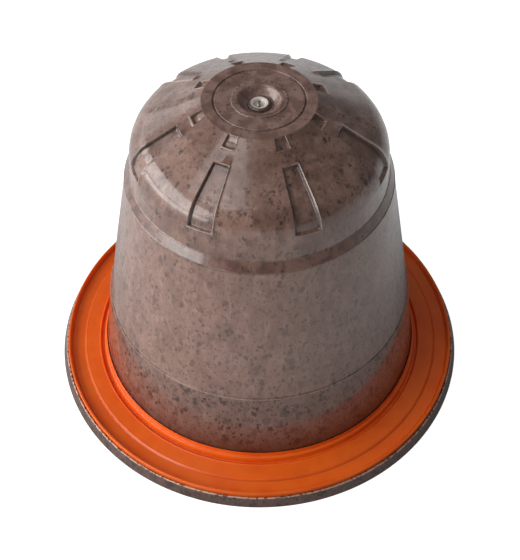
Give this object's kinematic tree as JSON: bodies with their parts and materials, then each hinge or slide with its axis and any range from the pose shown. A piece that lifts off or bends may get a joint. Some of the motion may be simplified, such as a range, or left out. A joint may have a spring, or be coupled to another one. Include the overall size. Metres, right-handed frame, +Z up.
{
  "type": "coffee pod",
  "caption": "Sealed single-serve coffee pod: a speckled moulded cup with a grooved dome and sunk gate dish, a flanged mouth and a stepped orange sealing ring.",
  "frame": {"origin": "middle of the lid's underside, on the surface the pod stands on", "axes": "+Z up the pod's axis towards its domed end, -Y towards the viewer of the picture"},
  "size_m": [0.037, 0.037, 0.029],
  "materials": {
    "speckled_bioplastic": "satin",
    "orange_seal": "satin",
    "lid_film": "matte"
  },
  "bodies": {
    "root": {"capsule_body": "speckled_bioplastic", "sealing_ring": "orange_seal", "lid_film": "lid_film"}
  },
  "joints": []
}
